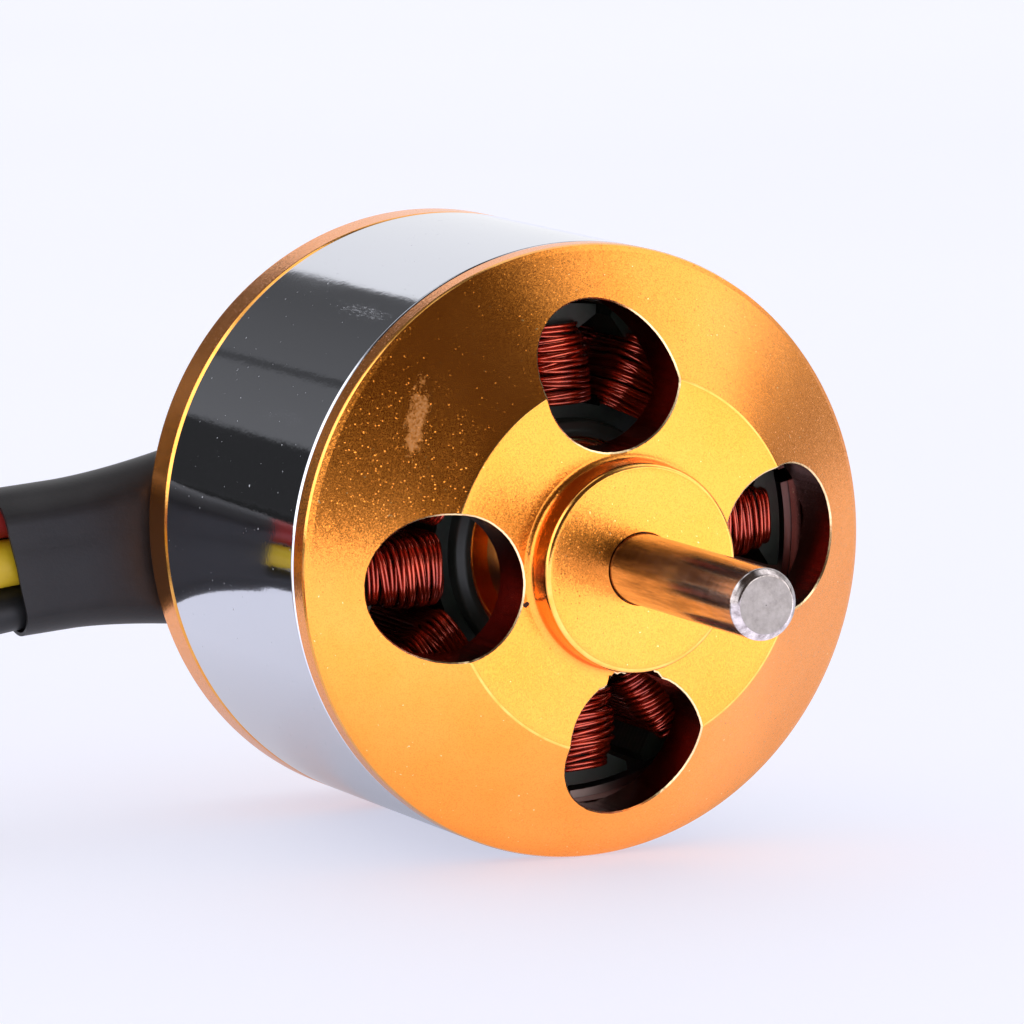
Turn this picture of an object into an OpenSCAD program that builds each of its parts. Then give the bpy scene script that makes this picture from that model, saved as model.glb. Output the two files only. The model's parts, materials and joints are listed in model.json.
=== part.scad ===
// Small brushless outrunner motor. The can and shaft turn round the wound stator.
// Rear mounting face on Y = 0, shaft axis along -Y, Z up, lying on its side.

/* [Rotor can] */
// Outside diameter of the rotor can
can_d = 27.8; // [27.6:0.1:28.2]
// Length of the steel flux ring
ring_len = 14; // [13.9:0.1:14.1]
// Distance from the mounting face to the rear edge of the can
can_rear = 4; // [3.9:0.1:4.1]
// Length of the rear closing ring
rear_ring_len = 2.25; // [2:0.05:2.4]
// Height of the conical face of the front cap
cone_h = 4; // [3.8:0.1:4.2]
// Diameter of the flat front face inside the cone
flat_d = 17.1; // [16.8:0.1:17.4]
// Diameter of the raised hub
hub_d = 9.4; // [9:0.1:9.8]
// Height of the raised hub above the flat face
hub_h = 1.6; // [1.4:0.1:2]
// Diameter of each vent hole
vent_d = 6.6; // [6:0.1:6.7]
// Diameter of the circle that the vent holes stand on
vent_circle_d = 16.7; // [16.6:0.05:17]
// Angle of the first vent hole at rest
vent_angle = 4.2; // [0:0.1:45]

/* [Shaft] */
// Shaft diameter
shaft_d = 3.17; // [3.15:0.01:3.17]
// Free length of the shaft in front of the hub
shaft_out = 11.7; // [9:0.1:16]

/* [Stator] */
// Diameter over the stator teeth
stator_d = 22; // [21.8:0.1:22.1]
// Height of the lamination stack
stack_h = 12; // [11.8:0.1:12.1]
// Width of a tooth's shank
tooth_w = 2.2; // [1.8:0.1:2.4]
// Height of the winding above each face of the stack
end_turn_h = 1.8; // [1.4:0.1:1.9]
// Angle of the first tooth
tooth_angle = 4.4; // [0:0.2:30]

/* [Base] */
// Diameter of the mounting flange
flange_d = 23; // [22.6:0.1:23.2]
// Thickness of the mounting flange
flange_t = 3.4; // [3.2:0.1:3.4]
// Diameter of the tapped mounting holes
mount_hole_d = 2.5; // [2.5:0.01:2.6]
// Spacing of the wide pair of mounting holes
mount_wide = 19; // [18.9:0.1:19.1]
// Spacing of the narrow pair of mounting holes
mount_narrow = 16; // [15.9:0.1:16.1]

/* [Leads] */
// Diameter of a silicone-covered lead
lead_d = 2.2; // [2.1:0.05:2.2]
// Wall of the shrunk sleeve round the three leads
shrink_wall = 0.17; // [0.12:0.01:0.17]

/* [Hidden] */
$fn = 96;

can_r = can_d / 2;
edge = 0.28;
ring_rear = can_rear + rear_ring_len;
ring_front = ring_rear + ring_len;
band_front = ring_front + 1.15;
flat_z = band_front + cone_h;
hub_z = flat_z + hub_h;
magnet_t = 1.2;
air_gap = 0.25;
stator_r = stator_d / 2;
magnet_r = stator_r + air_gap;
ring_bore_r = magnet_r + magnet_t;
stack_z = ring_rear + (ring_len - stack_h) / 2 + 0.05;
stack_top = stack_z + stack_h;
magnet_count = 14;
magnet_span = 22.5;
tooth_count = 12;
tube_r = 5;
slot_r = 6.5;
tip_r = 9.95;
coil_in = 6.7;
coil_out = 9.55;
tube_end = stack_top + 0.2;
seat_r = 6.2;

// Ball bearing, 1/8 x 5/16 x 9/64 inch
race_out_r = 3.97;
race_w = 3.57;
race_land_out = 3.28;
race_land_in = 2.3;
ball_r = 0.79;
ball_circle_r = 2.78;
ball_count = 7;
groove_gap = 0.03;
rear_bearing_z = 1.6;
front_bearing_z = tube_end - 0.1 - race_w;
cap_plate = 2.4;
boss_r = 3;
boss_z = front_bearing_z + race_w + 0.6;

// Leads: slope of the straight exit and place of the stack of three
lead_r = lead_d / 2;
exit_slope = 4.7;
exit_drop = 0.13;
lead_plane = 1.97;
floor_z = -can_r;
connector_x = -56;
bullet_r = 1.75;
cup_r = 2;
bullet_cover_r = 2.3;
bullet_z = -11.6;

// ---- helpers ----
// Turns a shape built along +Z with its mounting face on Z = 0 into the lying motor.
module lay() {
    rotate([90, 0, 0]) children();
}

module tube(r_out, r_in, h) {
    difference() {
        cylinder(r = r_out, h = h);
        translate([0, 0, -1]) cylinder(r = r_in, h = h + 2);
    }
}

module ring_of(count, first = 0) {
    for (i = [0:count - 1]) rotate([0, 0, first + i * 360 / count]) children();
}

// ---- stator ----
module base_mount() {
    color("goldenrod") lay() difference() {
        union() {
            rotate_extrude() polygon([
                [0, 0], [flange_d / 2 - 0.3, 0], [flange_d / 2, 0.3],
                [flange_d / 2, flange_t - 0.3], [flange_d / 2 - 0.3, flange_t], [0, flange_t]
            ]);
            cylinder(r = seat_r, h = stack_z);
            cylinder(r = tube_r, h = tube_end);
        }
        translate([0, 0, -1]) cylinder(r = race_out_r, h = rear_bearing_z + race_w + 1);
        translate([0, 0, front_bearing_z]) cylinder(r = race_out_r, h = race_w + 1);
        cylinder(r = race_land_out, h = tube_end);
        mount_hole(mount_wide / 2, 45);
        mount_hole(mount_wide / 2, 225);
        mount_hole(mount_narrow / 2, 135);
        mount_hole(mount_narrow / 2, 315);
        for (a = [0, 90, 270]) rotate([0, 0, a]) vent_slot();
        lead_notch();
    }
}

module mount_hole(radius, angle) {
    rotate([0, 0, angle]) translate([radius, 0, -1]) cylinder(d = mount_hole_d, h = flange_t + 2);
}

// Curved cooling slot through the flange
module vent_slot() {
    span = 13;
    mid_r = 8.8;
    half_w = 1.2;
    translate([0, 0, -1]) {
        rotate([0, 0, -span]) rotate_extrude(angle = 2 * span)
            translate([mid_r - half_w, 0]) square([2 * half_w, flange_t + 2]);
        for (a = [-span, span]) rotate([0, 0, a]) translate([mid_r, 0, 0])
            cylinder(r = half_w, h = flange_t + 2);
    }
}

// Way out for the three leads, along their slope
module lead_notch() {
    half_w = 3.65;
    corner = 1.5;
    translate([0, -exit_drop, -1]) rotate([0, 0, exit_slope]) {
        translate([-flange_d, -half_w, 0]) cube([flange_d - 7.8, 2 * half_w, flange_t + 2]);
        translate([-7.85, corner - half_w, 0]) cube([1.55, 2 * (half_w - corner), flange_t + 2]);
        for (s = [-1, 1]) translate([-7.8, s * (half_w - corner), 0]) cylinder(r = corner, h = flange_t + 2);
    }
}

module stator_core() {
    color("darkslategray") lay() translate([0, 0, stack_z]) difference() {
        union() {
            cylinder(r = slot_r, h = stack_h);
            intersection() {
                cylinder(r = stator_r, h = stack_h);
                ring_of(tooth_count, tooth_angle) {
                    translate([slot_r - 0.5, -tooth_w / 2, 0]) cube([stator_r, tooth_w, stack_h]);
                    linear_extrude(stack_h) polygon([
                        [tip_r - 0.35, -tooth_w / 2], [tip_r + 0.35, -2.35], [stator_r + 1, -2.6],
                        [stator_r + 1, 2.6], [tip_r + 0.35, 2.35], [tip_r - 0.35, tooth_w / 2]
                    ]);
                }
            }
        }
        translate([0, 0, -1]) cylinder(r = tube_r, h = stack_h + 2);
    }
}

// One winding: a rounded ring round its tooth, kept inside its slots' half spaces
module coil() {
    half_w = 2.15;
    half_h = stack_h / 2 + end_turn_h;
    corner = 1.3;
    half_space = 14.2;
    intersection() {
        translate([coil_in, 0, stack_h / 2]) rotate([90, 0, 90]) linear_extrude(coil_out - coil_in)
            difference() {
                rounded(half_w, half_h, corner);
                square([tooth_w, stack_h], center = true);
            }
        rotate([0, 0, -half_space]) rotate_extrude(angle = 2 * half_space)
            translate([0, -end_turn_h - 1]) square([stator_r, stack_h + 2 * end_turn_h + 2]);
    }
}

module rounded(half_w, half_h, corner) {
    square([2 * half_w, 2 * (half_h - corner)], center = true);
    square([2 * (half_w - corner), 2 * half_h], center = true);
    for (x = [-1, 1], y = [-1, 1])
        translate([x * (half_w - corner), y * (half_h - corner)]) circle(r = corner);
}

// Each phase has two pairs of neighbouring teeth, half a turn apart.
module phase(first) {
    color("firebrick") lay() translate([0, 0, stack_z])
        for (i = [first, first + 1, first + 6, first + 7])
            rotate([0, 0, tooth_angle + i * 360 / tooth_count]) coil();
}

module phase_a_coils() { phase(0); }
module phase_b_coils() { phase(2); }
module phase_c_coils() { phase(4); }

module solder_joints() {
    color("silver") lay() for (s = [-1:1])
        translate([-7.2, s * 2.15 - 0.72, lead_plane - 1]) cylinder(r = 0.7, h = 4.2);
}

// ---- ball bearings ----
module race(r_in, r_out) {
    rotate_extrude() difference() {
        translate([r_in, 0]) square([r_out - r_in, race_w]);
        translate([ball_circle_r, race_w / 2]) circle(r = ball_r + groove_gap);
    }
}

module outer_race() {
    color("lightsteelblue") race(race_land_out, race_out_r);
}

module inner_race() {
    color("lightsteelblue") race(shaft_d / 2, race_land_in);
}

module balls() {
    color("white") ring_of(ball_count) translate([ball_circle_r, 0, race_w / 2])
        sphere(r = ball_r, $fn = 48);
}

module ball_cage() {
    pocket = ball_r + 0.05;
    color("khaki") difference() {
        translate([0, 0, race_w / 2 - 1]) tube(3.08, 2.48, 2);
        ring_of(ball_count) translate([2, 0, race_w / 2]) rotate([0, 90, 0]) cylinder(r = pocket, h = 2);
    }
}

module shields() {
    color("gainsboro") for (z = [0.1, race_w - 0.3])
        translate([0, 0, z]) tube(race_land_out, race_land_in + 0.08, 0.2);
}

module rear_outer_race() { lay() translate([0, 0, rear_bearing_z]) outer_race(); }
module rear_inner_race() { lay() translate([0, 0, rear_bearing_z]) inner_race(); }
module rear_balls() { lay() translate([0, 0, rear_bearing_z]) balls(); }
module rear_ball_cage() { lay() translate([0, 0, rear_bearing_z]) ball_cage(); }
module rear_shields() { lay() translate([0, 0, rear_bearing_z]) shields(); }
module front_outer_race() { lay() translate([0, 0, front_bearing_z]) outer_race(); }
module front_inner_race() { lay() translate([0, 0, front_bearing_z]) inner_race(); }
module front_balls() { lay() translate([0, 0, front_bearing_z]) balls(); }
module front_ball_cage() { lay() translate([0, 0, front_bearing_z]) ball_cage(); }
module front_shields() { lay() translate([0, 0, front_bearing_z]) shields(); }

// ---- rotor ----
module shaft() {
    end_z = 0.3;
    bevel = 0.28;
    tip = hub_z + shaft_out;
    groove_z = rear_bearing_z - 0.3 - 0.45;
    relief = 0.2;
    r = shaft_d / 2;
    color("silver") lay() rotate_extrude() polygon([
        [0, end_z], [r - bevel, end_z], [r, end_z + bevel], [r, groove_z], [r - 0.3, groove_z],
        [r - 0.3, groove_z + 0.45], [r, groove_z + 0.45], [r, hub_z - 0.75], [r - relief, hub_z - 0.75],
        [r - relief, hub_z - 0.1], [r, hub_z - 0.1], [r, tip - bevel], [r - bevel, tip], [0, tip]
    ]);
}

module circlip() {
    color("dimgray") lay() translate([0, 0, rear_bearing_z - 0.75]) difference() {
        cylinder(r = 2.5, h = 0.45);
        translate([0, 0, -1]) cylinder(r = shaft_d / 2 - 0.3, h = 3);
        translate([0, -0.8, -1]) cube([5, 1.6, 3]);
    }
}

module rear_washer() {
    color("silver") lay() translate([0, 0, rear_bearing_z - 0.3]) tube(2.2, shaft_d / 2, 0.3);
}

module front_spacer() {
    color("silver") lay() translate([0, 0, front_bearing_z + race_w]) tube(2.2, shaft_d / 2, 0.6);
}

module front_cap() {
    foot = 0.3;
    hub_r = hub_d / 2;
    cone_in_r = ring_bore_r - 0.85;
    cone_slope = (can_r - edge - flat_d / 2) / (cone_h - 0.1);
    plate_z = flat_z - cap_plate;
    cone_in_h = (cone_in_r - flat_d / 2 + 0.5) / cone_slope;
    color("goldenrod") lay() difference() {
        rotate_extrude() polygon([
            [shaft_d / 2, boss_z], [boss_r, boss_z], [boss_r, plate_z], [flat_d / 2 - 0.5, plate_z],
            [cone_in_r, plate_z - cone_in_h], [cone_in_r, ring_front - 0.9], [ring_bore_r, ring_front - 0.9],
            [ring_bore_r, ring_front], [can_r - edge, ring_front], [can_r, ring_front + edge],
            [can_r, band_front], [can_r - edge, band_front + edge * 0.7],
            [flat_d / 2 + 0.12, flat_z - 0.09], [flat_d / 2 - 0.12, flat_z],
            for (a = [270:-22.5:180]) [hub_r + foot + foot * cos(a), flat_z + foot + foot * sin(a)],
            [hub_r, hub_z - 0.22], [hub_r - 0.06, hub_z - 0.06], [hub_r - 0.22, hub_z],
            [shaft_d / 2 + 0.3, hub_z], [shaft_d / 2 + 0.08, hub_z - 0.2],
            [shaft_d / 2 + 0.08, hub_z - 0.8], [shaft_d / 2, hub_z - 0.8]
        ]);
        ring_of(4, vent_angle) translate([vent_circle_d / 2, 0, boss_z]) cylinder(d = vent_d, h = 10);
    }
}

module flux_ring() {
    color("whitesmoke") lay() rotate_extrude() polygon([
        [ring_bore_r, ring_rear], [can_r - edge, ring_rear], [can_r, ring_rear + edge],
        [can_r, ring_front - edge], [can_r - edge, ring_front], [ring_bore_r, ring_front]
    ]);
}

module rear_ring() {
    color("goldenrod") lay() rotate_extrude() polygon([
        [ring_bore_r - 0.15, can_rear], [can_r - edge, can_rear], [can_r, can_rear + edge],
        [can_r, ring_rear - edge], [can_r - edge, ring_rear], [ring_bore_r, ring_rear],
        [ring_bore_r, ring_rear + 0.8], [ring_bore_r - 0.8, ring_rear + 0.8], [ring_bore_r - 0.8, ring_rear - 0.8]
    ]);
}

module magnets(first) {
    color("slategray") lay() translate([0, 0, stack_z])
        ring_of(magnet_count / 2, first * 360 / magnet_count - magnet_span / 2)
            rotate_extrude(angle = magnet_span)
                translate([magnet_r, 0]) square([magnet_t, stack_h]);
}

module magnets_north() { magnets(0); }
module magnets_south() { magnets(1); }

// ---- leads ----
// Routes of the three leads, from the solder joints to the bullet connectors
red_route = [
    [-7.9, -1.77, 1.43], [-11, -1.77, 1.18], [-14, -1.77, 0.93], [-17, -1.77, 0.68], [-20, -1.8, 0.46],
    [-23, -2, 0.25], [-26, -2.5, -0.5], [-29, -3.35, -1.9], [-32, -4.25, -4], [-35, -5, -6.5],
    [-38, -5.7, -8.9], [-41, -6.4, -10.9], [-44, -6.9, -12.1], [-47, -7.2, -12.6],
    [-50, -7.3, -12.2], [-53.5, -7.3, -11.6], [-56, -7.3, -11.6]
];
yellow_route = [
    [-7.9, -2.18, -0.75], [-11, -2.18, -1], [-14, -2.18, -1.25], [-17, -2.18, -1.5], [-20, -2.18, -1.75],
    [-23, -2.2, -2.2], [-26, -2.3, -3.1], [-29, -2.4, -4.5], [-32, -2.4, -6.3], [-35, -2.4, -8.3],
    [-38, -2.4, -10.2], [-41, -2.4, -11.7], [-44, -2.4, -12.5], [-47, -2.4, -12.7],
    [-50, -2.4, -12.2], [-53.5, -2.4, -11.6], [-56, -2.4, -11.6]
];
black_route = [
    [-7.9, -1.77, -2.93], [-11, -1.77, -3.18], [-14, -1.77, -3.43], [-17, -1.77, -3.68], [-20, -1.75, -3.96],
    [-23, -1.55, -4.6], [-26, -1.05, -5.8], [-29, -0.3, -7.4], [-32, 0.6, -9.2], [-35, 1.4, -10.9],
    [-38, 2, -12.1], [-41, 2.3, -12.6], [-44, 2.5, -12.75], [-47, 2.5, -12.7],
    [-50, 2.5, -12.2], [-53.5, 2.5, -11.6], [-56, 2.5, -11.6]
];

function unit(v) = v / norm(v);
function heading(path, i) =
    i == 0 ? unit(path[1] - path[0])
    : i == len(path) - 1 ? unit(path[i] - path[i - 1])
    : unit(path[i + 1] - path[i - 1]);
function across(h) = unit(cross([0, 1, 0], h));
function ring_points(path, i, r, sides) = let (
    h = heading(path, i),
    u = across(h),
    v = cross(h, u)
) [for (k = [0:sides - 1]) path[i] + r * (u * cos(k * 360 / sides) + v * sin(k * 360 / sides))];

module cord(path, r, sides = 8) {
    n = len(path);
    polyhedron(
        points = [for (i = [0:n - 1]) each ring_points(path, i, r, sides)],
        faces = concat(
            [[for (k = [0:sides - 1]) k]],
            [for (i = [0:n - 2], k = [0:sides - 1]) [
                i * sides + k, (i + 1) * sides + k,
                (i + 1) * sides + (k + 1) % sides, i * sides + (k + 1) % sides
            ]],
            [[for (k = [0:sides - 1]) (n - 1) * sides + sides - 1 - k]]
        )
    );
}

module lead_red() { color("red") cord(red_route, lead_r); }
module lead_yellow() { color("yellow") cord(yellow_route, lead_r); }
module lead_black() { color("#202020") cord(black_route, lead_r); }

// Flat oval section across the leads, at a distance along them
module oval(along, half_tall, half_thick) {
    translate([-along, -lead_plane, 0]) rotate([0, 90, 0])
        linear_extrude(0.01) for (s = [-1, 1]) translate([s * (half_tall - half_thick), 0])
            circle(r = half_thick, $fn = 32);
}

module shrink_sleeve() {
    start = 12;
    finish = 21.5;
    wide = 4.1;
    narrow = 3.52;
    thick = 1.74;
    color("#181818") translate([0, 0, -exit_drop]) rotate([0, -exit_slope, 0]) difference() {
        hull() {
            oval(start, wide, thick);
            oval(17, narrow + 0.15, thick);
            oval(finish, narrow, thick);
        }
        hull() {
            oval(start - 0.5, wide - shrink_wall, thick - shrink_wall);
            oval(17, narrow + 0.13 - shrink_wall, thick - shrink_wall);
            oval(finish + 0.5, narrow - shrink_wall, thick - shrink_wall);
        }
        translate([-23.75, -10, -7]) rotate([0, -3.5, 0]) cube([4, 20, 14]);
    }
}

module at_connector(route) {
    translate(route[len(route) - 1]) rotate([0, -90, 0]) children();
}

// Bullet connector: solder cup, then a slotted pin with a round nose
module bullet(route) {
    pin_len = 7.5;
    cup_len = 5.5;
    color("gold") at_connector(route) difference() {
        rotate_extrude() polygon([
            [0, 0], [cup_r, 0], [cup_r, cup_len], [bullet_r - 0.15, cup_len + 0.4],
            [bullet_r - 0.15, cup_len + 1], [bullet_r, cup_len + 1.6], [bullet_r, cup_len + pin_len - 1],
            [bullet_r - 0.35, cup_len + pin_len - 0.3], [bullet_r - 0.75, cup_len + pin_len], [0, cup_len + pin_len]
        ]);
        for (a = [0, 90]) rotate([0, 0, a])
            translate([-3, -0.15, cup_len + 1.2]) cube([6, 0.3, pin_len - 2.6]);
    }
}

module bullet_red() { bullet(red_route); }
module bullet_yellow() { bullet(yellow_route); }
module bullet_black() { bullet(black_route); }

// Shrunk cover over the solder cup and the end of the lead
module bullet_sleeve(route, colour) {
    color(colour) at_connector(route) rotate_extrude() polygon([
        [cup_r, 0], [cup_r, 5.6], [bullet_cover_r, 5.6], [bullet_cover_r, -0.6],
        [lead_r + 0.35, -1.8], [lead_r + 0.2, -2.2], [lead_r + 0.12, -2.2], [lead_r + 0.12, 0]
    ]);
}

module bullet_sleeve_red() { bullet_sleeve(red_route, "#202020"); }
module bullet_sleeve_yellow() { bullet_sleeve(yellow_route, "#202020"); }
module bullet_sleeve_black() { bullet_sleeve(black_route, "#202020"); }

base_mount();
stator_core();
phase_a_coils();
phase_b_coils();
phase_c_coils();
rear_outer_race();
rear_inner_race();
rear_balls();
rear_ball_cage();
rear_shields();
front_outer_race();
front_inner_race();
front_balls();
front_ball_cage();
front_shields();
shaft();
front_cap();
flux_ring();
rear_ring();
magnets_north();
magnets_south();
front_spacer();
rear_washer();
circlip();
solder_joints();
shrink_sleeve();
lead_red();
lead_yellow();
lead_black();
bullet_red();
bullet_yellow();
bullet_black();
bullet_sleeve_red();
bullet_sleeve_yellow();
bullet_sleeve_black();
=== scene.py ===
"""Brushless outrunner motor: looks for the CAD frame.

Shapes are worked out in millimetres and placed in metres. Lead routes, marks on the metal, noise scales
and the stage are in metres.
"""

import json
import math
import random

import bmesh
import bpy
import numpy as np
from mathutils import Matrix, Vector
from mathutils.geometry import delaunay_2d_cdt


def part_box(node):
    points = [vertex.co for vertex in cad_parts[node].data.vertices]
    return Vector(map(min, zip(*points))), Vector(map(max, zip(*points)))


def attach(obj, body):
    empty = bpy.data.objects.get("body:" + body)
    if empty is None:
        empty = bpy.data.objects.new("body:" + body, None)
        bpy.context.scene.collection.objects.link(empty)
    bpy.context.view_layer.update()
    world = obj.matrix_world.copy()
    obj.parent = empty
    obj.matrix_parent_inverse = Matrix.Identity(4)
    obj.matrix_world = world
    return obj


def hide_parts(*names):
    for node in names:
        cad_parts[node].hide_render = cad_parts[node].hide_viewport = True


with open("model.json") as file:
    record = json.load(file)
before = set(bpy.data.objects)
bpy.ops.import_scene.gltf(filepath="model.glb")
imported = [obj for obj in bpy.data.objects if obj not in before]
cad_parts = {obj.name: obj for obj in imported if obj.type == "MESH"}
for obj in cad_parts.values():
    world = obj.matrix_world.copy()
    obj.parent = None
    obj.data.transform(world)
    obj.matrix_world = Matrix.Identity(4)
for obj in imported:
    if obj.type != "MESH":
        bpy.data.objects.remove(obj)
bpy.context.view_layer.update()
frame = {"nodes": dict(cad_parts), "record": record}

MM = 0.001

# ---------------------------------------------------------------- sizes from the frame (mm)
# "Along" is the distance from the mounting face towards the shaft's tip, which is -Y.


def along_range(node):
    low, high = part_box(node)
    return -high.y / MM, -low.y / MM


def radius_of(node):
    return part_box(node)[1].x / MM


CAN_R = radius_of("flux_ring")
RING_REAR, RING_FRONT = along_range("flux_ring")
CAN_REAR = along_range("rear_ring")[0]
CAP_BACK, HUB_FACE = along_range("front_cap")
SHAFT_REAR, SHAFT_TIP = along_range("shaft")
SHAFT_R = radius_of("shaft")
STACK_REAR, STACK_FRONT = along_range("stator_core")
RING_WALL = 1.45
RING_BORE = CAN_R - RING_WALL
BAND_FRONT = RING_FRONT + 1.15
HUB_HEIGHT = 1.6
FLAT_FACE = HUB_FACE - HUB_HEIGHT
FLAT_R = 8.55
HUB_R = 4.7
VENT_R = 3.3
VENT_CIRCLE_R = 8.35
VENT_ANGLE = math.radians(4.2)
TOOTH_ANGLE = math.radians(4.4)
TOOTH_W = 2.2
TUBE_R = 5.0
FLOOR_Z = -CAN_R * MM


def place(points):
    """Points (x, y, along) in mm as points of the frame in metres; x and y lie across the shaft."""
    p = np.asarray(points, float).reshape(-1, 3) * MM
    return np.stack([p[:, 0], -p[:, 2], p[:, 1]], axis=1)


# ---------------------------------------------------------------- mesh helpers
def new_object(name, data):
    obj = bpy.data.objects.new(name, data)
    bpy.context.scene.collection.objects.link(obj)
    return obj


def make_object(name, verts, faces, material=None, sharp_deg=40):
    mesh = bpy.data.meshes.new(name)
    mesh.from_pydata([tuple(v) for v in verts], [], faces)
    mesh.validate()
    mesh.update()
    obj = new_object(name, mesh)
    smooth(obj, sharp_deg)
    if material:
        mesh.materials.append(material)
    return obj


def smooth(obj, sharp_deg):
    obj.data.shade_smooth()
    obj.data.set_sharp_from_angle(angle=math.radians(sharp_deg))


def turned(points, angle):
    """Points (x, y, along) turned about the axis."""
    cos, sin = math.cos(angle), math.sin(angle)
    return points @ np.array([[cos, -sin, 0], [sin, cos, 0], [0, 0, 1]]).T


def lathe(profile, steps):
    """Vertices and faces of a closed outline of (radius, along) points turned about the axis."""
    profile = np.asarray(profile, float)
    n = len(profile)
    turn = np.arange(steps) * 2 * math.pi / steps
    ring = np.stack([np.cos(turn), np.sin(turn)], axis=1)
    verts = np.zeros((steps, n, 3))
    verts[:, :, 0] = ring[:, :1] * profile[:, 0]
    verts[:, :, 1] = ring[:, 1:] * profile[:, 0]
    verts[:, :, 2] = profile[:, 1]
    faces = []
    for i in range(steps):
        here, there = i * n, (i + 1) % steps * n
        faces += [(here + j, there + j, there + (j + 1) % n, here + (j + 1) % n) for j in range(n)]
    return verts.reshape(-1, 3), faces


def rounded(profile, corners, steps=4):
    """The outline with each listed corner {index: radius} replaced by an arc.

    A further point beyond each end of an arc keeps the shading of the straight stretch flat.
    """
    beyond = 1.7
    out = []
    count = len(profile)
    for i, p in enumerate(profile):
        p = np.array(p, float)
        r = corners.get(i)
        if not r:
            out.append(p)
            continue
        a = np.array(profile[i - 1], float) - p
        b = np.array(profile[(i + 1) % count], float) - p
        a, b = a / np.linalg.norm(a), b / np.linalg.norm(b)
        out.append(p + beyond * r * a)
        for k in range(steps + 1):
            t = k / steps
            out.append(p + r * ((1 - t) ** 2 * a + t ** 2 * b))
        out.append(p + beyond * r * b)
    return out


def tube_faces(rows, sides):
    """Faces between the rows of vertices round a tube."""
    faces = []
    for i in range(rows - 1):
        here, there = i * sides, (i + 1) * sides
        for k in range(sides):
            after = (k + 1) % sides
            faces.append((here + k, here + after, there + after, there + k))
    return faces


def sweep(points, radius, sides):
    """A round tube along points (N x 3), with flat ends: vertices and faces."""
    p = np.asarray(points, float)
    n = len(p)
    tangent = np.gradient(p, axis=0)
    tangent /= np.linalg.norm(tangent, axis=1)[:, None]
    normal = np.zeros_like(p)
    start = np.array([0.0, 0.0, 1.0]) if abs(tangent[0, 2]) < 0.9 else np.array([1.0, 0.0, 0.0])
    normal[0] = np.cross(tangent[0], start)
    normal[0] /= np.linalg.norm(normal[0])
    for i in range(1, n):
        v = normal[i - 1] - tangent[i] * (normal[i - 1] @ tangent[i])
        normal[i] = v / np.linalg.norm(v)
    side = np.cross(tangent, normal)
    turn = np.arange(sides) * 2 * math.pi / sides
    cos, sin = np.cos(turn)[None, :, None], np.sin(turn)[None, :, None]
    verts = p[:, None] + radius * (normal[:, None] * cos + side[:, None] * sin)
    ends = [tuple(range(sides - 1, -1, -1)), tuple((n - 1) * sides + k for k in range(sides))]
    return verts.reshape(-1, 3), tube_faces(n, sides) + ends


def joined(parts):
    """Several (vertices, faces) as one."""
    verts, faces, base = [], [], 0
    for v, f in parts:
        verts.append(v)
        faces += [tuple(i + base for i in face) for face in f]
        base += len(v)
    return np.concatenate(verts), faces


def spline_through(points, per_span):
    """A smooth line through the points (Catmull-Rom)."""
    p = np.asarray(points, float)
    p = np.concatenate([[2 * p[0] - p[1]], p, [2 * p[-1] - p[-2]]])
    out = []
    for i in range(1, len(p) - 2):
        a, b, c, d = p[i - 1 : i + 3]
        for k in range(per_span):
            t = k / per_span
            square, cube = 2 * a - 5 * b + 4 * c - d, 3 * b - 3 * c + d - a
            out.append(0.5 * (2 * b + (c - a) * t + square * t**2 + cube * t**3))
    out.append(p[-2])
    return np.array(out)


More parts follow.
